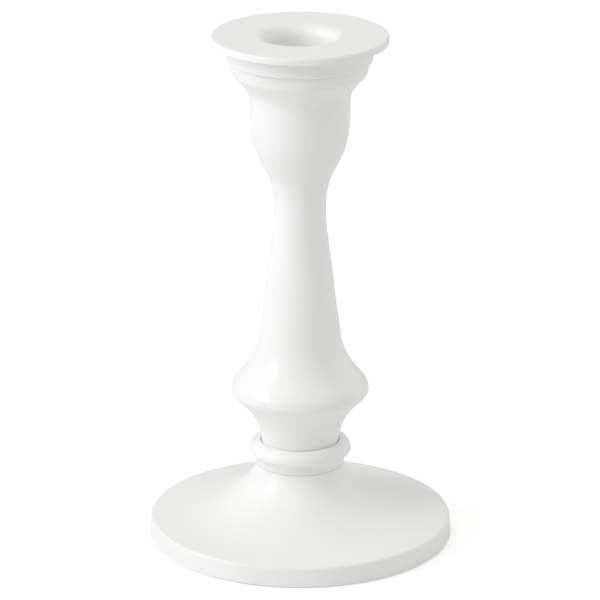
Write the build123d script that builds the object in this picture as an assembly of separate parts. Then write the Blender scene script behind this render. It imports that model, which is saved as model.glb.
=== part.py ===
from build123d import *
from math import cos, hypot, radians, sin, sqrt
import os

# A turned wooden candlestick, in millimetres, +Z up. The origin is the centre of the face that it
# rests on, the underside of its felt. Everything is round about Z, apart from the screws' recesses.
# Outlines are drawn as (radius, height) and turned about Z. A station is (radius, height, lean),
# where lean is the outline's angle off the vertical in degrees, plus where it widens going up.

# Driving dimensions
total_height = 181.0
candle_hole_radius = 11.5
candle_hole_depth = 25.0

# Base: a round foot with a hollow curve from its neck to its rim
base_radius = 52.9
rim_radius = 52.5
rim_height = 7.3
rim_round = 1.1
base_edge_round = 0.3
neck_top = 26.5
neck_radius = 15.4
neck_round = 0.4
base_hollow = [
    (rim_radius - rim_round, rim_height, -85),
    (25.8, 14.2, -59),
    (neck_radius, neck_top - neck_round, -16),
]

# Felt: let into the underside and standing proud of it
felt_radius = 48.0
felt_thickness = 1.4
felt_proud = 0.4
felt_gap = 0.3

# Central joint: a round tenon under the stem, glued in a hole through the collar and into the base
tenon_radius = 8.0
tenon_bottom = 14.0
mortise_radius = 8.1
mortise_floor = 13.5

# Collar: a plain neck that swells into a bead, with a round recess for the stem's foot
collar_edge_round = 0.3
collar_curve = [
    (15.3, neck_top + collar_edge_round, 0),
    (15.4, 28.3, 8),
    (17.85, 31.6, 0),
    (15.0, 35.1, -90),
]
bead_inner_round = 0.5
collar_recess_radius = 13.75
collar_floor = 29.5

# Stem: foot, bulb, waist and cup, then a cove and a quarter round under the head's flat band
foot = (13.1, collar_floor, 3)
stem_curve = [
    foot,
    (13.7, 36.2, 6),
    (20.6, 49.4, 44),
    (24.0, 53.9, 0),
    (20.0, 60.5, -39),
    (14.3, 73.3, -7.4),
    (12.1, 90.3, -5.1),
    (9.0, 119.8, 0),
    (12.1, 133.5, 29.7),
    (16.5, 144.8, 10),
    (17.2, 152.8, 0),
    (17.4, 159.4, 5.8),
    (20.55, 164.9, 38.4),
    (23.2, 168.4, 15.5),
    (23.8, 171.8, 12),
]
stem_top = 172.0

# Head ring: the flat band that the pan sits on
ring_radius = 25.0
ring_edge_round = 1.0
ring_mouth_round = 3.5

# Candle pan: one pressing of steel sheet, a flange with a turned-down lip and a drawn cup
sheet = 0.8
pan_radius = 30.4
lip_round = 0.9
lip_height = 2.6
mouth_round = 4.1
cup_corner_round = 1.6
cup_clearance = 0.2
cup_floor = total_height - candle_hole_depth
dimple_radius = 3.0

# Screws. A thread is (radius, core radius, pitch, width of its foot, width of its crest), and a
# driver recess is (width of a wing, reach of a wing from the axis, depth).
pan_thread = (1.5, 0.95, 1.35, 0.7, 0.15)
stem_thread = (2.5, 1.65, 2.2, 1.1, 0.2)
wood_thread_ease = 0.04
screw_point = 2.5
pan_screw_length = 12.0
pan_screw_head_radius = 2.75
pan_screw_head_land = 0.15
pan_screw_recess = (0.8, 1.6, 1.5)
pan_screw_hole_radius = 1.65
stem_screw_length = 45.0
stem_screw_head_radius = 4.75
stem_screw_head_height = 3.4
stem_screw_head_round = 1.6
stem_screw_recess = (1.2, 2.6, 2.4)
web_bottom = 7.0
web_hole_radius = 2.75
counterbore_radius = 9.0

# Washer under the head of the stem screw
washer_radius = 7.5
washer_thickness = 1.2
washer_hole_radius = 2.65


def flow(stations):
    """Smooth outline through stations, one cubic curve for each span."""
    spans = []
    for (r0, z0, lean0), (r1, z1, lean1) in zip(stations, stations[1:]):
        reach = hypot(r1 - r0, z1 - z0) / 3
        leave = (r0 + reach * sin(radians(lean0)), z0 + reach * cos(radians(lean0)))
        arrive = (r1 - reach * sin(radians(lean1)), z1 - reach * cos(radians(lean1)))
        spans.append(Bezier((r0, z0), leave, arrive, (r1, z1)))
    return spans


def turned(*outline):
    """Solid turned about Z from the edges of one closed outline."""
    return revolve(Plane.XZ * make_face(outline), Axis.Z)


def cylinder(radius, bottom, top):
    """Plain round bar or hole about Z."""
    return Pos(0, 0, bottom) * Cylinder(radius, top - bottom, align=(Align.CENTER, Align.CENTER, Align.MIN))


def threaded_bar(thread, bottom, top, point_up, ease=0.0):
    """Screw's bar with a point at one end. Its thread is a row of rings, one for each turn.
    ease makes the bar larger all over, as the hole that it cuts in the wood."""
    thread_radius, core_radius, pitch, foot_width, crest_width = thread
    core = core_radius + ease
    crest = thread_radius + ease
    half_foot = foot_width / 2 + ease
    half_crest = crest_width / 2 + ease
    turns = int((top - bottom - screw_point) / pitch)
    points = [(0, 0), (core, 0)]
    for turn in range(turns):
        middle = pitch * (turn + 0.5)
        points.append((core, middle - half_foot))
        points.append((crest, middle - half_crest))
        points.append((crest, middle + half_crest))
        points.append((core, middle + half_foot))
    points.append((core, top - bottom - screw_point))
    points.append((0, top - bottom + ease))
    bar = turned(Polyline(*points, close=True))
    if point_up:
        return Pos(0, 0, bottom) * bar
    return Pos(0, 0, top) * Rot(180, 0, 0) * bar


def cross_recess(width, reach, depth):
    """Cross-shaped driver recess, as a solid with its mouth at z = 0 and its tip below."""
    wings = Box(2 * reach, width, depth) + Box(width, 2 * reach, depth)
    taper = Cone(width / 2, reach, depth)
    return Pos(0, 0, -depth / 2) * (wings & taper)


def make_base():
    """Foot with a hollow top curve, a mortise for the tenon and a recess for the felt."""
    recess_radius = felt_radius + felt_gap
    recess_top = felt_thickness
    rim_corner = (rim_radius - rim_round, rim_height - rim_round)
    foot_corner = (base_radius - base_edge_round, felt_proud + base_edge_round)
    neck_corner = (neck_radius - neck_round, neck_top - neck_round)
    return turned(
        Polyline(
            (foot_corner[0], felt_proud),
            (recess_radius, felt_proud),
            (recess_radius, recess_top),
            (counterbore_radius, recess_top),
            (counterbore_radius, web_bottom),
            (web_hole_radius, web_bottom),
            (web_hole_radius, mortise_floor),
            (mortise_radius, mortise_floor),
            (mortise_radius, neck_top),
            (neck_corner[0], neck_top),
        ),
        CenterArc(neck_corner, neck_round, 0, 90),
        *flow(base_hollow),
        CenterArc(rim_corner, rim_round, 0, 90),
        Line((rim_radius, rim_corner[1]), (base_radius, foot_corner[1])),
        CenterArc(foot_corner, base_edge_round, -90, 90),
    )


def make_collar():
    """Turned ring between base and stem."""
    bead_top = collar_curve[-1][:2]
    lower_corner = (collar_curve[0][0] - collar_edge_round, neck_top + collar_edge_round)
    inner_corner = (collar_recess_radius + bead_inner_round, bead_top[1] - bead_inner_round)
    return turned(
        Polyline(
            (lower_corner[0], neck_top),
            (mortise_radius, neck_top),
            (mortise_radius, collar_floor),
            (collar_recess_radius, collar_floor),
            (collar_recess_radius, inner_corner[1]),
        ),
        CenterArc(inner_corner, bead_inner_round, 90, 90),
        Line((inner_corner[0], bead_top[1]), bead_top),
        *flow(collar_curve),
        CenterArc(lower_corner, collar_edge_round, -90, 90),
    )


def make_stem():
    """Turned stem with its tenon below and a bored head above."""
    bore = candle_hole_radius + sheet + cup_clearance
    seat = cup_floor - sheet
    last_radius, last_height, _ = stem_curve[-1]
    corner = stem_top - last_height
    body = turned(
        Polyline(
            foot[:2],
            (tenon_radius, collar_floor),
            (tenon_radius, tenon_bottom),
            (0, tenon_bottom),
            (0, seat),
            (bore, seat),
            (bore, stem_top),
            (last_radius - corner, stem_top),
            (last_radius, last_height),
        ),
        *flow(stem_curve),
    )
    wide, narrow = dimple_outer_radii()
    dimple_floor = seat - (wide - narrow)
    dimple = turned(Polyline((0, seat), (wide, seat), (narrow, dimple_floor), (0, dimple_floor), close=True))
    screw_holes = pan_screw_bar(wood_thread_ease) + stem_screw_bar(wood_thread_ease)
    return body - dimple - screw_holes


def make_head_ring():
    """Flat band of the head, with its mouth eased for the pressed pan."""
    bore = candle_hole_radius + sheet + cup_clearance
    top = total_height - sheet
    mouth = (bore + ring_mouth_round, top - ring_mouth_round)
    lower_corner = (ring_radius - ring_edge_round, stem_top + ring_edge_round)
    return turned(
        Line((mouth[0], top), (ring_radius, top)),
        Line((ring_radius, top), (ring_radius, lower_corner[1])),
        CenterArc(lower_corner, ring_edge_round, -90, 90),
        Line((lower_corner[0], stem_top), (bore, stem_top)),
        Line((bore, stem_top), (bore, mouth[1])),
        CenterArc(mouth, ring_mouth_round, 90, 90),
    )


def dimple_outer_radii():
    """Widest and narrowest radius of the wood's countersink, a little clear of the cup's dimple."""
    wide = dimple_radius + sheet * (sqrt(2) - 1) + wood_thread_ease
    return wide, pan_screw_hole_radius


def make_candle_pan():
    """Steel pan: flange with a turned-down lip, rounded mouth, straight cup and a dimpled floor."""
    hole = pan_screw_hole_radius
    outer = candle_hole_radius + sheet
    under = total_height - sheet
    mouth = (candle_hole_radius + mouth_round, total_height - mouth_round)
    corner = (candle_hole_radius - cup_corner_round, cup_floor + cup_corner_round)
    corner_under = cup_corner_round + sheet
    bend = (pan_radius - lip_round, total_height - lip_round)
    lip_end = (pan_radius - sheet / 2, total_height - lip_height + sheet / 2)
    dimple_bottom = cup_floor - (dimple_radius - hole)
    return turned(
        CenterArc(lip_end, sheet / 2, -180, 180),
        Line((pan_radius, lip_end[1]), (pan_radius, bend[1])),
        CenterArc(bend, lip_round, 0, 90),
        Line((bend[0], total_height), (mouth[0], total_height)),
        CenterArc(mouth, mouth_round, 90, 90),
        Line((candle_hole_radius, mouth[1]), (candle_hole_radius, corner[1])),
        CenterArc(corner, cup_corner_round, -90, 90),
        Polyline(
            (corner[0], cup_floor),
            (dimple_radius, cup_floor),
            (hole, dimple_bottom),
            (hole, dimple_bottom - sheet * sqrt(2)),
            (dimple_radius + sheet * (sqrt(2) - 1), cup_floor - sheet),
            (corner[0], cup_floor - sheet),
        ),
        CenterArc(corner, corner_under, -90, 90),
        Line((outer, corner[1]), (outer, mouth[1])),
        CenterArc(mouth, mouth_round - sheet, 90, 90),
        Line((mouth[0], under), (bend[0], under)),
        CenterArc(bend, lip_round - sheet, 0, 90),
        Line((pan_radius - sheet, bend[1]), (pan_radius - sheet, lip_end[1])),
    )


def pan_screw_bar(ease=0.0):
    """Threaded bar of the pan screw, from its head's neck down to its point."""
    head_top = cup_floor - (dimple_radius - pan_screw_head_radius) + pan_screw_head_land
    neck = head_top - pan_screw_head_land - (pan_screw_head_radius - pan_thread[1])
    return threaded_bar(pan_thread, head_top - pan_screw_length, neck, point_up=False, ease=ease)


def make_pan_screw():
    """Countersunk screw that holds the pan's floor to the stem."""
    rim = cup_floor - (dimple_radius - pan_screw_head_radius)
    head_top = rim + pan_screw_head_land
    core = pan_thread[1]
    head = turned(
        Polyline(
            (0, head_top),
            (pan_screw_head_radius, head_top),
            (pan_screw_head_radius, rim),
            (core, rim - pan_screw_head_radius + core),
            (0, rim - pan_screw_head_radius + core),
            close=True,
        )
    )
    recess = Pos(0, 0, head_top) * cross_recess(*pan_screw_recess)
    return head + pan_screw_bar() - recess


def stem_screw_bar(ease=0.0):
    """Threaded bar of the stem screw, from under its head up to its point."""
    under_head = web_bottom - washer_thickness
    return threaded_bar(stem_thread, under_head, under_head + stem_screw_length, point_up=True, ease=ease)


def make_stem_screw():
    """Pan-head screw that pulls the stem down through the base and the collar."""
    under_head = web_bottom - washer_thickness
    head_face = under_head - stem_screw_head_height
    corner = (stem_screw_head_radius - stem_screw_head_round, head_face + stem_screw_head_round)
    head = turned(
        Polyline(
            (corner[0], head_face),
            (0, head_face),
            (0, under_head),
            (stem_screw_head_radius, under_head),
            (stem_screw_head_radius, corner[1]),
        ),
        CenterArc(corner, stem_screw_head_round, -90, 90),
    )
    recess = Pos(0, 0, head_face) * Rot(180, 0, 0) * cross_recess(*stem_screw_recess)
    return head + stem_screw_bar() - recess


def make_washer():
    """Flat washer between the stem screw's head and the base."""
    bottom = web_bottom - washer_thickness
    disc = cylinder(washer_radius, bottom, web_bottom)
    return disc - cylinder(washer_hole_radius, bottom, web_bottom)


def make_felt_pad():
    """Round felt that the candlestick stands on."""
    return cylinder(felt_radius, 0, felt_thickness)


parts = {
    "base": make_base(),
    "collar": make_collar(),
    "stem": make_stem(),
    "head_ring": make_head_ring(),
    "candle_pan": make_candle_pan(),
    "pan_screw": make_pan_screw(),
    "stem_screw": make_stem_screw(),
    "washer": make_washer(),
    "felt_pad": make_felt_pad(),
}

os.makedirs("parts", exist_ok=True)
for node, solid in parts.items():
    export_step(solid, f"parts/{node}.step")
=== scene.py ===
# A white turned candlestick on a pale floor, in metres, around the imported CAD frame. The turned
# pieces are lathed again from the CAD's own outlines, with the paint's softened edges, fine even
# rows and procedural finishes. The screws get their helical threads.
from math import acos, ceil, cos, hypot, pi, radians, sin

import bmesh
import bpy
import numpy as np
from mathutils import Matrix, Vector, noise


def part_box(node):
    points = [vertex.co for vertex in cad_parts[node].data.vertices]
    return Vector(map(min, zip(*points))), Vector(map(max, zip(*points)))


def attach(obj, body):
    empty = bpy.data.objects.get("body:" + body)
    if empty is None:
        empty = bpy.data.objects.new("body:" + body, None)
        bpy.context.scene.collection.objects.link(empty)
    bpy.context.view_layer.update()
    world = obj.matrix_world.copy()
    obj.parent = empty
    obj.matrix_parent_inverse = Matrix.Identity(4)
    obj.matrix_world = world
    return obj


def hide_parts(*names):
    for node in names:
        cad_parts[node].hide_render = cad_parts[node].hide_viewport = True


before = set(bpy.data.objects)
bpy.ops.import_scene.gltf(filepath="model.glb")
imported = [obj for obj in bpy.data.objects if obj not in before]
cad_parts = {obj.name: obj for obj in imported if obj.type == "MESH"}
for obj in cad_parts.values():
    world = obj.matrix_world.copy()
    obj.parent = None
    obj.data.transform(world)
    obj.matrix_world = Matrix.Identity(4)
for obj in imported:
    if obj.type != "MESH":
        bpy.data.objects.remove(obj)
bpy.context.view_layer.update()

MM = 0.001

# Meshes. Where an outline turns by more than CORNER_TURN it has a corner, whose round takes up at
# most CORNER_SHARE of the stretch on each side. Places closer than NEAR are the same.
SEGMENTS = 192
LONGEST_ROW = 1.2 * MM
SHARPEST_TURN = radians(5)
CORNER_TURN = radians(12)
CORNER_SHARE = 0.2
CORNER_STEPS = (0.25, 0.5, 0.75)
PAINT_ROUND = 0.2 * MM
NEAR = 0.5e-6
PLACE_DIGITS = 7
WASHER_ROUND = 0.1 * MM
FELT_ROW = 1.5 * MM
FELT_ROUND = 0.35 * MM
FELT_EDGE_STEPS = 4
FELT_LUMP = 2.5 * MM
FELT_FRACTAL = (0.6, 2.0, 3)
FELT_UNEVEN = 0.14 * MM

# Where the paint stops. The foot is the stem's in the collar's recess, whose floor is COLLAR_FLOOR
# above the collar's underside. The bore holds the pan's cup, in the stem and the head ring.
JOINT_GAP = 0.8 * MM
BARE_MARGIN = 2.0 * MM
COLLAR_FLOOR = 3.0 * MM
FOOT_RADIUS = 13.1 * MM
BORE_RADIUS = 12.7 * MM
SCREW_HOLE_RADIUS = 4.0 * MM

# Materials. A relief is (size of its lumps, height), a stretch is what the place is multiplied
# by along each axis, and nearly all of a noise lies in NOISE_SPAN.
NOISE_SPAN = (0.3, 0.7)
PAINT_WARM = (0.927, 0.927, 0.921)
PAINT_COOL = (0.933, 0.933, 0.932)
PAINT_PATCH = 26 * MM
PAINT_ROUGHNESS = (0.29, 0.35)
PAINT_ROUGHNESS_PATCH = 14 * MM
PAINT_GLOSS = 0.42
PAINT_WAVES = (9 * MM, 0.022 * MM)
ORANGE_PEEL = (1.1 * MM, 0.0035 * MM)
NIB_SPACING = 15 * MM
NIBS = (0.22 * MM, 0.02 * MM)
FINE_RINGS = (1.0 * MM, 0.009 * MM)
FINE_RING_PATCH = 18 * MM
FINE_RING_SPAN = (0.42, 0.62)
FAINTEST_RINGS = 0.15
WIDE_RINGS = (3.2 * MM, 0.012 * MM)
# Painted shade: near the two seams, under the head ring and the collar, the paint is darkened in uneven
# patches.
SEAM_SHADE_REACH = 0.35 * MM
SEAM_SHADE_COLOUR = (0.82, 0.815, 0.795)
SEAM_SHADE_PATCH = 7 * MM
SEAM_SHADE_SPAN = (0.25, 0.6)
FAINTEST_SEAM_SHADE = 0.45
BEECH_DARK = (0.42, 0.26, 0.15)
BEECH_PALE = (0.72, 0.52, 0.34)
BEECH_GLOSS = 0.3
BEECH_ROUGHNESS = (0.72, 0.58)
BEECH_SPAN = (0.25, 0.7)
BAND_SIZE = 5 * MM
BAND_STRETCH = (1.0, 0.35, 0.02)
BAND_WAVINESS = 0.4
BAND_SHARE = 0.7
BEECH_FIBRES = (0.5 * MM, 0.03 * MM)
FIBRE_STRETCH = (1.0, 1.0, 0.04)
FIBRE_SHARE = 0.3
FLECK_SPACING = 1.6 * MM
FLECK_SIZE = 0.25 * MM
FLECK_STRETCH = (1.0, 1.0, 0.3)
FLECK_SHARE = 0.25
ZINC_BLUE = (0.62, 0.63, 0.66)
ZINC_GREY = (0.74, 0.74, 0.73)
ZINC_PATCH = 3 * MM
ZINC_SPAN = (0.35, 0.65)
ZINC_ROUGHNESS = (0.24, 0.42)
ZINC_ROUGHNESS_PATCH = 1.2 * MM
ZINC_MARKS = (0.16 * MM, 0.004 * MM)
ZINC_LUMPS = (0.6 * MM, 0.005 * MM)
FELT_DARK = (0.60, 0.585, 0.555)
FELT_PALE = (0.80, 0.79, 0.765)
FELT_GLOSS = 0.15
FELT_SHEEN = 0.35
FELT_SHEEN_ROUGHNESS = 0.5
FELT_ROUGHNESS = (0.98, 0.86)
FELT_SPAN = (0.36, 0.64)
FELT_FIBRES = (1.6 * MM, 0.16 * MM)
FELT_STRETCHES = ((1.0, 0.22, 1.0), (0.22, 1.0, 1.0))
FELT_TANGLE = 1.5
FELT_NAP = (0.35 * MM, 0.04 * MM)

# Screws. A head's outline is (radius, distance from its face), a thread is (radius, core radius,
# pitch, width of its foot, width of its crest), and a cross is (width of a wing, reach, depth).
# The innermost point of a head's face is at HEAD_CENTRE of its radius.
THREAD_ROW = 0.11 * MM
THREAD_SEGMENTS = 64
SCREW_POINT = 2.5 * MM
HEAD_CENTRE = 0.3
HEAD_ARC = [radians(turn) for turn in range(10, 91, 10)]
CROSS_EDGE = radians(35)
CROSS_OVERCUT = 0.2
STEM_THREAD = [size * MM for size in (2.5, 1.65, 2.2, 1.1, 0.2)]
STEM_CROSS = [size * MM for size in (1.2, 2.6, 2.4)]
STEM_HEAD_RADIUS = 4.75 * MM
STEM_HEAD_HEIGHT = 3.4 * MM
STEM_HEAD_ROUND = 1.6 * MM
PAN_THREAD = [size * MM for size in (1.5, 0.95, 1.35, 0.7, 0.15)]
PAN_CROSS = [size * MM for size in (0.8, 1.6, 1.5)]
PAN_HEAD_RADIUS = 2.75 * MM
PAN_HEAD_LAND = 0.15 * MM
STEM_SCREW_HEAD = [(HEAD_CENTRE * STEM_HEAD_RADIUS, 0), (STEM_HEAD_RADIUS - STEM_HEAD_ROUND, 0)]
STEM_SCREW_HEAD += [
    (STEM_HEAD_RADIUS - STEM_HEAD_ROUND * (1 - sin(turn)), STEM_HEAD_ROUND * (1 - cos(turn)))
    for turn in HEAD_ARC
]
STEM_SCREW_HEAD += [(STEM_HEAD_RADIUS, STEM_HEAD_HEIGHT), (STEM_THREAD[1], STEM_HEAD_HEIGHT)]
PAN_SCREW_HEAD = [
    (HEAD_CENTRE * PAN_HEAD_RADIUS, 0),
    (PAN_HEAD_RADIUS, 0),
    (PAN_HEAD_RADIUS, PAN_HEAD_LAND),
    (PAN_THREAD[1], PAN_HEAD_LAND + PAN_HEAD_RADIUS - PAN_THREAD[1]),
]

# Camera: it looks slightly down at the middle of the candlestick
CAMERA_AIM = Vector((0, 0, 0.08585))
CAMERA_DISTANCE = 1.5246
CAMERA_ELEVATION = radians(18.99)
CAMERA_LENS = 264.45
CAMERA_SENSOR = 36

# Stage. A light is (name, azimuth and elevation in degrees, diameter, power in watts), and azimuth
# 0 is behind the camera, with the left negative.
FLOOR_REACH = 8.0
FLOOR_COLOUR = (0.9, 0.9, 0.9)
FLOOR_ROUGHNESS = 0.9
FLOOR_GLOW = 0.34
ROOM_LIGHT = 0.505
ROOM_TINT = (1.0, 1.0, 0.975)
LAMP_TINT = (0.985, 0.985, 1.0)
LIGHT_DISTANCE = 1.2
DIFFUSE_BOUNCES = 10
LIGHTS = [
    ("key", -66, 26, 0.4, 3.4),
    ("left_high", -85, 40, 0.5, 2.0),
    ("left_back", -130, 30, 0.8, 0.75),
    ("front_high", -30, 60, 0.8, 2.1),
    ("right", 90, 25, 1.0, 0.9),
    ("right_back", 120, 15, 1.0, 1.5),
    ("back", 160, 28, 1.0, 0.75),
]


# --- Outlines -------------------------------------------------------------------------------


def cad_spans(node):
    """A turned node's outline in the half-plane y = 0, x >= 0: ordered spans, each with its two ends
    as (radius, height) and the outline's exact heading at each end."""
    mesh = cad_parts[node].data
    places = {}
    for vertex in mesh.vertices:
        x, y, z = vertex.co
        if abs(y) < NEAR and x > -NEAR:
            places[vertex.index] = (round(x, PLACE_DIGITS), round(z, PLACE_DIGITS))
    normals = {}
    for loop, corner in zip(mesh.loops, mesh.corner_normals):
        normals.setdefault(loop.vertex_index, (corner.vector.x, corner.vector.z))
    across, links = {}, {}
    for edge in mesh.edges:
        a, b = edge.vertices
        if a not in places or b not in places or places[a] == places[b]:
            continue
        start, end = places[a], places[b]
        if (start, end) in across:
            continue
        across[start, end] = (normals[a], normals[b])
        across[end, start] = (normals[b], normals[a])
        links.setdefault(start, []).append(end)
        links.setdefault(end, []).append(start)
    ends = [place for place, near in links.items() if len(near) == 1]
    first = min(ends or links, key=lambda place: (place[1], place[0]))
    path, left = [first], None
    while True:
        onward = [place for place in links[path[-1]] if place != left]
        if not onward:
            break
        left = path[-1]
        path.append(onward[0])
        if path[-1] == first:
            break
    spans = []
    for start, end in zip(path, path[1:]):
        chord = np.subtract(end, start)
        headings = [along(normal, chord) for normal in across[start, end]]
        spans.append((np.array(start), headings[0], np.array(end), headings[1]))
    return spans


def along(normal, chord):
    """Unit heading square to a normal, on the chord's side."""
    heading = np.array((normal[1], -normal[0]))
    heading /= hypot(*heading) or 1
    return heading if heading @ chord >= 0 else -heading


def turn_between(a, b):
    """Angle between two unit headings."""
    return acos(max(-1.0, min(1.0, float(a @ b))))


def smooth_points(span, row):
    """Points along one span, all but its end, on a cubic curve that keeps both headings."""
    start, leave, end, arrive = span
    length = hypot(*(end - start))
    steps = ceil(max(length / row, turn_between(leave, arrive) / SHARPEST_TURN, 1))
    points = []
    for step in range(steps):
        t = step / steps
        points.append(
            (2 * t**3 - 3 * t**2 + 1) * start
            + (t**3 - 2 * t**2 + t) * length * leave
            + (3 * t**2 - 2 * t**3) * end
            + (t**3 - t**2) * length * arrive
        )
    return points


def shortened(run, reach):
    """A run of points with the given length taken off its end, and never all of its last step."""
    run = list(run)
    while len(run) > 2 and hypot(*(run[-1] - run[-2])) <= reach:
        reach -= hypot(*(run[-1] - run[-2]))
        run.pop()
    step = run[-1] - run[-2]
    run[-1] = run[-1] - step * min(reach / max(hypot(*step), NEAR), 0.5)
    return run


def cut_back(run, reach):
    """A shortened run, with one more point close before its new end that keeps the shading flat."""
    edge = shortened(run, reach)
    return shortened(edge, reach) + [edge[-1]]


def softened(runs, closed, reach):
    """The runs joined in one outline, with a small round where two of them meet at a corner."""
    lengths = [sum(hypot(*(b - a)) for a, b in zip(run, run[1:])) for run in runs]
    bodies = []
    count = len(runs)
    for i, run in enumerate(runs):
        size = min(reach, CORNER_SHARE * lengths[i])
        first = i == 0 and not closed
        last = i == count - 1 and not closed
        body = run if last else cut_back(run, min(size, CORNER_SHARE * lengths[(i + 1) % count]))
        if not first:
            body = cut_back(body[::-1], min(size, CORNER_SHARE * lengths[i - 1]))[::-1]
        bodies.append(body)
    outline = []
    for i, body in enumerate(bodies):
        outline += body
        if i < count - 1 or closed:
            corner = runs[i][-1]
            onward = bodies[(i + 1) % count][0]
            for t in CORNER_STEPS:
                outline.append((1 - t) ** 2 * body[-1] + 2 * t * (1 - t) * corner + t**2 * onward)
    return outline


def outline_of(node, row=LONGEST_ROW, reach=PAINT_ROUND):
    """(points, closed): a turned node's outline in even rows, with softened corners."""
    spans = cad_spans(node)
    closed = bool(np.allclose(spans[0][0], spans[-1][2]))
    corners = [
        i for i in range(0 if closed else 1, len(spans))
        if turn_between(spans[i - 1][3], spans[i][1]) > CORNER_TURN
    ]
    if closed:
        spans = spans[corners[0]:] + spans[: corners[0]]
        corners = [i - corners[0] for i in corners[1:]]
    cuts = [0, *corners, len(spans)]
    runs = []
    for start, end in zip(cuts, cuts[1:]):
        run = [p for span in spans[start:end] for p in smooth_points(span, row)]
        runs.append(run + [spans[end - 1][2]])
    return softened(runs, closed, reach), closed


# --- Meshes ---------------------------------------------------------------------------------


def lathe(name, outline, closed, segments=SEGMENTS, shape=None):
    """Closed mesh turned about Z from an outline. A point on the axis becomes a pole. shape may give
    each place its own (radius, height), from the outline's radius and height and the angle."""
    area = sum(a[0] * b[1] - b[0] * a[1] for a, b in zip(outline, [*outline[1:], outline[0]]))
    if area < 0:
        outline = outline[::-1]
    angles = np.arange(segments) * 2 * pi / segments
    vertices, rows = [], []
    for radius, height in outline:
        if radius < NEAR:
            rows.append([len(vertices)] * segments)
            vertices.append((0, 0, height))
            continue
        rows.append(range(len(vertices), len(vertices) + segments))
        for a in angles:
            r, z = shape(radius, height, a) if shape else (radius, height)
            vertices.append((r * cos(a), r * sin(a), z))
    faces = []
    pairs = list(zip(rows, rows[1:])) + ([(rows[-1], rows[0])] if closed else [])
    for low, high in pairs:
        for i in range(segments):
            j = (i + 1) % segments
            face = [low[i], low[j], high[j], high[i]]
            faces.append(list(dict.fromkeys(face)))
    mesh = bpy.data.meshes.new(name)
    mesh.from_pydata(vertices, [], faces)
    mesh.shade_smooth()
    mesh.validate()
    piece = bpy.data.objects.new(name, mesh)
    bpy.context.scene.collection.objects.link(piece)
    return piece


def leave_bare(piece, zones):
    """Gives the second material to the faces in zones of (widest radius, lowest, highest)."""
    for face in piece.data.polygons:
        x, y, z = face.center
        if any(hypot(x, y) < widest and lowest < z < highest for widest, lowest, highest in zones):
            face.material_index = 1


def stand_for(piece, node, slot, *materials):
    """Puts a finished piece in its CAD node's place, on the one body."""
    for material in materials:
        piece.data.materials.append(material)
    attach(piece, "root")
    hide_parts(node)


def felt_disc():
    """Pressed felt: a disc with soft uneven faces and edge, nowhere outside its CAD box."""
    low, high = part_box("felt_pad")
    flat = high.x - FELT_ROUND
    turns = [radians(90 * i / FELT_EDGE_STEPS) for i in range(FELT_EDGE_STEPS + 1)]
    rows = ceil(flat / FELT_ROW)
    inward = [flat * (1 - i / rows) for i in range(rows + 1)]
    outline = [(radius, low.z) for radius in reversed(inward[1:])]
    outline += [(flat + FELT_ROUND * sin(a), low.z + FELT_ROUND * (1 - cos(a))) for a in turns]
    outline += [(flat + FELT_ROUND * cos(a), high.z - FELT_ROUND * (1 - sin(a))) for a in turns]
    outline += [(radius, high.z) for radius in inward[1:]]

    def uneven(radius, height, angle):
        place = Vector((radius * cos(angle), radius * sin(angle), height)) / FELT_LUMP
        lump = (1 + noise.fractal(place, *FELT_FRACTAL)) / 2
        lump = min(max(lump, 0.0), 1.0) * FELT_UNEVEN
        if radius < flat:
            return radius, height + (lump if height < high.z / 2 else -lump)
        return radius - lump, height

    return lathe("felt_disc", outline, False, shape=uneven)


def screw(name, node, head, thread, cross, point_up):
    """Screw with a helical thread, a pointed tip and a cross recess in its head. head is the head's
    outline as (radius, distance from the head's face); thread is (radius, core radius, pitch, width
    of its foot, width of its crest); cross is (width of a wing, reach, depth)."""
    low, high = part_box(node)
    length = high.z - low.z
    thread_radius, core, pitch, foot_width, crest_width = thread
    bar_start = head[-1][1]
    rows = ceil((length - bar_start) / THREAD_ROW)
    bar = [(core, bar_start + (length - bar_start) * i / rows) for i in range(1, rows)]
    outline = [(0, 0)] + head + bar + [(0, length)]

    def threaded(radius, height, angle):
        from_face = height - low.z if point_up else high.z - height
        if from_face <= bar_start:
            return radius, height
        off_crest = abs((height / pitch - angle / (2 * pi)) % 1 - 0.5) * pitch
        rise = (foot_width / 2 - off_crest) / (foot_width / 2 - crest_width / 2)
        rise = min(max(rise, 0.0), 1.0) * min((from_face - bar_start) / pitch, 1.0)
        taper = min((length - from_face) / SCREW_POINT, 1.0)
        return taper * (core + rise * (thread_radius - core)), height

    def place(distance):
        return low.z + distance if point_up else high.z - distance

    outline = [(radius, place(distance)) for radius, distance in outline]
    body = lathe(name, outline, False, THREAD_SEGMENTS, threaded)
    cut_cross(body, place(0), cross, 1 if point_up else -1)
    return body


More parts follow.
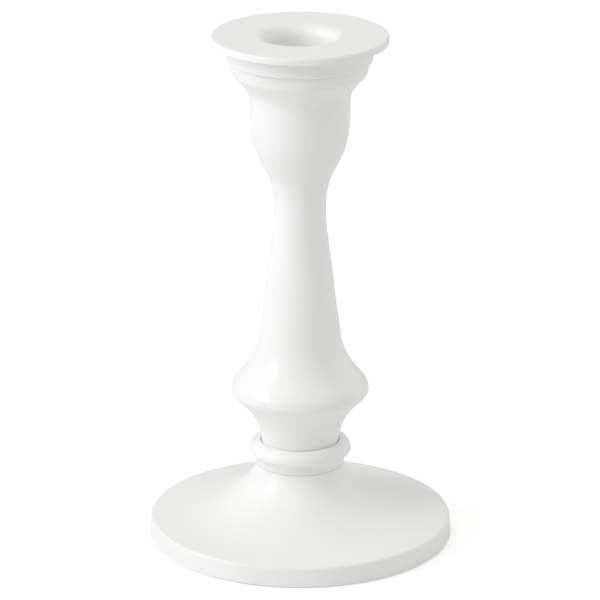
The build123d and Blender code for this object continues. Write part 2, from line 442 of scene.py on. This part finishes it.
def cut_cross(body, face, cross, inward):
    """Cuts a tapered cross recess into a screw's head. inward is the way into the head, +1 up."""
    width, reach, depth = cross
    over = CROSS_OVERCUT * depth
    cutter_mesh = bpy.data.meshes.new("cross")
    work = bmesh.new()
    slope = (reach - width / 2) / depth
    for turn in (0, pi / 2):
        corners = []
        for distance in (-over, depth):
            wide = reach - slope * distance
            for x, y in ((-wide, -width / 2), (wide, -width / 2), (wide, width / 2), (-wide, width / 2)):
                place = (x * cos(turn) - y * sin(turn), x * sin(turn) + y * cos(turn))
                corners.append(work.verts.new((*place, face + inward * distance)))
        work.faces.new(corners[:4])
        work.faces.new(corners[:3:-1])
        for i in range(4):
            j = (i + 1) % 4
            work.faces.new((corners[j], corners[i], corners[i + 4], corners[j + 4]))
    bmesh.ops.recalc_face_normals(work, faces=work.faces)
    work.to_mesh(cutter_mesh)
    work.free()
    cutter = bpy.data.objects.new("cross", cutter_mesh)
    bpy.context.scene.collection.objects.link(cutter)
    cut = body.modifiers.new("cross", "BOOLEAN")
    cut.object = cutter
    cut.solver = "EXACT"
    cut.use_self = True
    finished = bpy.data.meshes.new_from_object(body.evaluated_get(bpy.context.evaluated_depsgraph_get()))
    body.modifiers.clear()
    body.data = finished
    body.data.shade_smooth()
    body.data.set_sharp_from_angle(angle=CROSS_EDGE)
    bpy.data.objects.remove(cutter)


def bare_zones():
    """Where the paint stops on each turned piece: inside its joints, and over the felt."""
    felt_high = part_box("felt_pad")[1]
    washer_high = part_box("washer")[1]
    collar_low, collar_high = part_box("collar")
    stem_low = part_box("stem")[0]
    ring_low, ring_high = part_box("head_ring")
    pan_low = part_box("candle_pan")[0]
    felt_hole = felt_high.x + JOINT_GAP
    counterbore = washer_high.x + 2 * JOINT_GAP
    foot = collar_low.z + COLLAR_FLOOR
    return {
        "base": [(felt_hole, felt_high.z / 2, felt_high.z + NEAR), (counterbore, 0, collar_low.z)],
        "collar": [(FOOT_RADIUS + JOINT_GAP, collar_low.z, collar_high.z - BARE_MARGIN)],
        "stem": [
            (FOOT_RADIUS + JOINT_GAP, stem_low.z - NEAR, foot + NEAR),
            (SCREW_HOLE_RADIUS, stem_low.z, ring_low.z),
            (BORE_RADIUS, pan_low.z, ring_low.z),
        ],
        "head_ring": [(BORE_RADIUS, ring_low.z - NEAR, ring_high.z)],
    }


# --- Materials ------------------------------------------------------------------------------


class Surface:
    """A procedural material under construction, with its coordinates in metres."""

    def __init__(self, name):
        self.material = bpy.data.materials.new(name)
        self.material.use_nodes = True
        self.nodes, self.links = self.material.node_tree.nodes, self.material.node_tree.links
        self.shader = self.nodes["Principled BSDF"]
        self.place = self.nodes.new("ShaderNodeTexCoord").outputs["Object"]
        self.heights = []

    def set(self, **values):
        """Constants on the shader's own sockets."""
        for socket, value in values.items():
            self.shader.inputs[socket.replace("_", " ")].default_value = value

    def math(self, operation, *inputs):
        node = self.nodes.new("ShaderNodeMath")
        node.operation = operation
        for socket, value in zip(node.inputs, inputs):
            if isinstance(value, (int, float)):
                socket.default_value = value
            else:
                self.links.new(value, socket)
        return node.outputs[0]

    def x_y_z(self):
        """The three coordinates on their own."""
        split = self.nodes.new("ShaderNodeSeparateXYZ")
        self.links.new(self.place, split.inputs[0])
        return split.outputs

    def turned_place(self):
        """Coordinates that are the same all round the axis: (radius, height, 0)."""
        x, y, z = self.x_y_z()
        squares = [self.math("MULTIPLY", side, side) for side in (x, y)]
        radius = self.math("SQRT", self.math("ADD", *squares))
        joined = self.nodes.new("ShaderNodeCombineXYZ")
        self.links.new(radius, joined.inputs[0])
        self.links.new(z, joined.inputs[1])
        return joined.outputs[0]

    def near_height(self, height, reach):
        """1 at a height, and 0 from reach above or below it."""
        off = self.math("ABSOLUTE", self.math("SUBTRACT", self.x_y_z()[2], height))
        return self.ramp(off, reach / 3, reach, 1, 0)

    def stretched(self, by):
        """Coordinates multiplied by a number for each axis. Below 1, the pattern gets longer there."""
        node = self.nodes.new("ShaderNodeVectorMath")
        node.operation = "MULTIPLY"
        node.inputs[1].default_value = by
        self.links.new(self.place, node.inputs[0])
        return node.outputs[0]

    def noise(self, size, detail=2.0, place=None, distortion=0.0):
        """Noise from 0 to 1 whose lumps are about size across."""
        node = self.nodes.new("ShaderNodeTexNoise")
        node.inputs["Scale"].default_value = 1 / size
        node.inputs["Detail"].default_value = detail
        node.inputs["Distortion"].default_value = distortion
        self.links.new(place or self.place, node.inputs["Vector"])
        return node.outputs[0]

    def spots(self, spacing, size, place=None):
        """Small round spots of value 1 on 0, one for each cell of that spacing."""
        node = self.nodes.new("ShaderNodeTexVoronoi")
        node.inputs["Scale"].default_value = 1 / spacing
        self.links.new(place or self.place, node.inputs["Vector"])
        return self.ramp(node.outputs["Distance"], 0, size / spacing, 1, 0)

    def ramp(self, value, low, high, to_low, to_high):
        """Smooth change from to_low to to_high as the value goes from low to high."""
        node = self.nodes.new("ShaderNodeMapRange")
        node.interpolation_type = "SMOOTHSTEP"
        for name, number in (("From Min", low), ("From Max", high), ("To Min", to_low), ("To Max", to_high)):
            node.inputs[name].default_value = number
        self.links.new(value, node.inputs["Value"])
        return node.outputs[0]

    def mix(self, factor, first, second):
        """Colour that goes from first to second with the factor. Each is a colour or a socket."""
        node = self.nodes.new("ShaderNodeMix")
        node.data_type = "RGBA"
        sockets = [socket for socket in node.inputs if socket.type == "RGBA"]
        for socket, colour in zip(sockets, (first, second)):
            if isinstance(colour, tuple):
                socket.default_value = (*colour, 1)
            else:
                self.links.new(colour, socket)
        self.links.new(factor, node.inputs[0])
        return next(output for output in node.outputs if output.type == "RGBA")

    def colour(self, value):
        self.links.new(value, self.shader.inputs["Base Color"])

    def roughness(self, value):
        self.links.new(value, self.shader.inputs["Roughness"])

    def raise_by(self, value, height):
        """Adds relief: value times height, in metres."""
        self.heights.append((value, height))

    def finish(self):
        """Turns the relief into bump, and returns the material."""
        total = 0.0
        for value, height in self.heights:
            total = self.math("MULTIPLY_ADD", value, height, total)
        bump = self.nodes.new("ShaderNodeBump")
        bump.inputs["Distance"].default_value = 1
        self.links.new(total, bump.inputs["Height"])
        self.links.new(bump.outputs[0], self.shader.inputs["Normal"])
        return self.material


def seam_heights():
    """Heights of the two seams that show: under the head ring, and under the collar."""
    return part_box("head_ring")[0].z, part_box("collar")[0].z


def white_paint(name, turned):
    """Satin white paint with a faint orange peel, a few dust nibs and painted shade in its seams.
    Over turned wood, the tool's fine rings show through."""
    paint = Surface(name)
    paint.set(Specular_IOR_Level=PAINT_GLOSS)
    patches = paint.ramp(paint.noise(PAINT_PATCH, 3), *NOISE_SPAN, 0, 1)
    own_colour = paint.mix(patches, PAINT_WARM, PAINT_COOL)
    # Painted shade: a thin darker band at each of the two seams, in uneven patches, stands in for the shade
    # there.
    seam_shade = paint.math("MAXIMUM", *(paint.near_height(height, SEAM_SHADE_REACH) for height in seam_heights()))
    shade_strength = paint.ramp(paint.noise(SEAM_SHADE_PATCH, 3), *SEAM_SHADE_SPAN, FAINTEST_SEAM_SHADE, 1)
    paint.colour(paint.mix(paint.math("MULTIPLY", seam_shade, shade_strength), own_colour, SEAM_SHADE_COLOUR))
    paint.roughness(paint.ramp(paint.noise(PAINT_ROUGHNESS_PATCH, 4), *NOISE_SPAN, *PAINT_ROUGHNESS))
    for size, height in (PAINT_WAVES, ORANGE_PEEL):
        paint.raise_by(paint.noise(size, 1), height)
    paint.raise_by(paint.spots(NIB_SPACING, NIBS[0]), NIBS[1])
    if turned:
        fine = paint.noise(FINE_RINGS[0], 2, paint.turned_place())
        where = paint.ramp(paint.noise(FINE_RING_PATCH, 1), *FINE_RING_SPAN, FAINTEST_RINGS, 1)
        paint.raise_by(paint.math("MULTIPLY", fine, where), FINE_RINGS[1])
        paint.raise_by(paint.noise(WIDE_RINGS[0], 0, paint.turned_place()), WIDE_RINGS[1])
    return paint.finish()


def bare_wood(name):
    """Bare turned beech where no paint goes: growth bands along the piece, long fibres and short
    dark flecks."""
    wood = Surface(name)
    wood.set(Specular_IOR_Level=BEECH_GLOSS)
    bands = wood.noise(BAND_SIZE, 2, wood.stretched(BAND_STRETCH), BAND_WAVINESS)
    fibres = wood.noise(BEECH_FIBRES[0], 3, wood.stretched(FIBRE_STRETCH))
    flecks = wood.spots(FLECK_SPACING, FLECK_SIZE, wood.stretched(FLECK_STRETCH))
    tone = wood.math(
        "ADD", wood.math("MULTIPLY", bands, BAND_SHARE), wood.math("MULTIPLY", fibres, FIBRE_SHARE)
    )
    tone = wood.math("SUBTRACT", tone, wood.math("MULTIPLY", flecks, FLECK_SHARE))
    wood.colour(wood.mix(wood.ramp(tone, *BEECH_SPAN, 0, 1), BEECH_DARK, BEECH_PALE))
    wood.roughness(wood.ramp(fibres, *NOISE_SPAN, *BEECH_ROUGHNESS))
    wood.raise_by(fibres, BEECH_FIBRES[1])
    return wood.finish()


def zinc_plate(name):
    """Bright zinc plating in faint patches, with fine marks all round."""
    zinc = Surface(name)
    zinc.set(Metallic=1)
    patches = zinc.ramp(zinc.noise(ZINC_PATCH, 3), *ZINC_SPAN, 0, 1)
    zinc.colour(zinc.mix(patches, ZINC_BLUE, ZINC_GREY))
    zinc.roughness(zinc.ramp(zinc.noise(ZINC_ROUGHNESS_PATCH, 4), *NOISE_SPAN, *ZINC_ROUGHNESS))
    zinc.raise_by(zinc.noise(ZINC_MARKS[0], 2, zinc.turned_place()), ZINC_MARKS[1])
    zinc.raise_by(zinc.noise(ZINC_LUMPS[0], 3), ZINC_LUMPS[1])
    return zinc.finish()


def pressed_felt(name):
    """Off-white wool felt: tangled fibres, some of them darker, and a soft nap."""
    felt = Surface(name)
    felt.set(Sheen_Weight=FELT_SHEEN, Sheen_Roughness=FELT_SHEEN_ROUGHNESS)
    felt.set(Specular_IOR_Level=FELT_GLOSS)
    fibres = [felt.noise(FELT_FIBRES[0], 5, felt.stretched(s), FELT_TANGLE) for s in FELT_STRETCHES]
    tangle = felt.math("MULTIPLY", felt.math("ADD", *fibres), 0.5)
    felt.colour(felt.mix(felt.ramp(tangle, *FELT_SPAN, 0, 1), FELT_DARK, FELT_PALE))
    felt.roughness(felt.ramp(tangle, *NOISE_SPAN, *FELT_ROUGHNESS))
    felt.raise_by(tangle, FELT_FIBRES[1])
    felt.raise_by(felt.noise(FELT_NAP[0], 2), FELT_NAP[1])
    return felt.finish()


wood_paint = white_paint("white_paint_on_wood", True)
steel_paint = white_paint("white_paint_on_steel", False)
beech = bare_wood("bare_beech")
zinc = zinc_plate("bright_zinc")
for turned_node, zones in bare_zones().items():
    turned = lathe(f"{turned_node}_turned", *outline_of(turned_node))
    stand_for(turned, turned_node, "painted_wood", wood_paint, beech)
    leave_bare(turned, zones)
stand_for(lathe("candle_pan_pressed", *outline_of("candle_pan")), "candle_pan", "painted_steel", steel_paint)
washer = lathe("washer_flat", *outline_of("washer", reach=WASHER_ROUND))
stand_for(washer, "washer", "zinc_plated_steel", zinc)
stem_screw = screw("stem_screw_helical", "stem_screw", STEM_SCREW_HEAD, STEM_THREAD, STEM_CROSS, True)
stand_for(stem_screw, "stem_screw", "zinc_plated_steel", zinc)
pan_screw = screw("pan_screw_helical", "pan_screw", PAN_SCREW_HEAD, PAN_THREAD, PAN_CROSS, False)
stand_for(pan_screw, "pan_screw", "zinc_plated_steel", zinc)
felt = felt_disc()
stand_for(felt, "felt_pad", "felt", pressed_felt("pressed_felt"))


# --- Stage ----------------------------------------------------------------------------------


def make_camera():
    """The camera, in front of the candlestick and a little above it."""
    back = Vector((0, -cos(CAMERA_ELEVATION), sin(CAMERA_ELEVATION)))
    data = bpy.data.cameras.new("camera")
    data.lens = CAMERA_LENS
    data.sensor_width = CAMERA_SENSOR
    camera = bpy.data.objects.new("camera", data)
    camera.location = CAMERA_AIM + back * CAMERA_DISTANCE
    camera.rotation_euler = (pi / 2 - CAMERA_ELEVATION, 0, 0)
    bpy.context.scene.collection.objects.link(camera)
    bpy.context.scene.camera = camera


def make_floor():
    """A pale floor. It looks whiter to the camera than it shines on the candlestick, as if a lamp
    of its own stood over it."""
    mesh = bpy.data.meshes.new("floor")
    corners = [(-1, -1), (1, -1), (1, 1), (-1, 1)]
    mesh.from_pydata([(x * FLOOR_REACH, y * FLOOR_REACH, 0) for x, y in corners], [], [range(4)])
    floor = bpy.data.objects.new("floor", mesh)
    bpy.context.scene.collection.objects.link(floor)
    pale = Surface("pale_floor")
    pale.set(Base_Color=(*FLOOR_COLOUR, 1), Roughness=FLOOR_ROUGHNESS, Specular_IOR_Level=0)
    pale.set(Emission_Color=(1, 1, 1, 1))
    ray = pale.nodes.new("ShaderNodeLightPath")
    glow = pale.math("MULTIPLY", ray.outputs["Is Camera Ray"], FLOOR_GLOW)
    pale.links.new(glow, pale.shader.inputs["Emission Strength"])
    floor.data.materials.append(pale.material)


def make_light(name, azimuth, elevation, size, power):
    """A round soft light that looks at the candlestick."""
    a, e = radians(azimuth), radians(elevation)
    data = bpy.data.lights.new(name, "AREA")
    data.shape = "DISK"
    data.size = size
    data.energy = power
    data.color = LAMP_TINT
    light = bpy.data.objects.new(name, data)
    back = Vector((sin(a) * cos(e), -cos(a) * cos(e), sin(e)))
    light.location = CAMERA_AIM + back * LIGHT_DISTANCE
    light.rotation_mode = "QUATERNION"
    light.rotation_quaternion = back.to_track_quat("Z", "Y")
    bpy.context.scene.collection.objects.link(light)


def make_world():
    """Even light from all round, with a white background behind the floor's far edge."""
    world = bpy.data.worlds.new("studio")
    world.use_nodes = True
    nodes, links = world.node_tree.nodes, world.node_tree.links
    shade = nodes["Background"]
    ray = nodes.new("ShaderNodeLightPath")
    strength = nodes.new("ShaderNodeMapRange")
    strength.inputs["To Min"].default_value = ROOM_LIGHT
    strength.inputs["To Max"].default_value = 1
    links.new(ray.outputs["Is Camera Ray"], strength.inputs["Value"])
    links.new(strength.outputs["Result"], shade.inputs["Strength"])
    shade.inputs["Color"].default_value = (*ROOM_TINT, 1)
    bpy.context.scene.world = world


make_camera()
make_floor()
make_world()
for light in LIGHTS:
    make_light(*light)
bpy.context.scene.view_settings.view_transform = "Standard"
bpy.context.scene.cycles.diffuse_bounces = DIFFUSE_BOUNCES
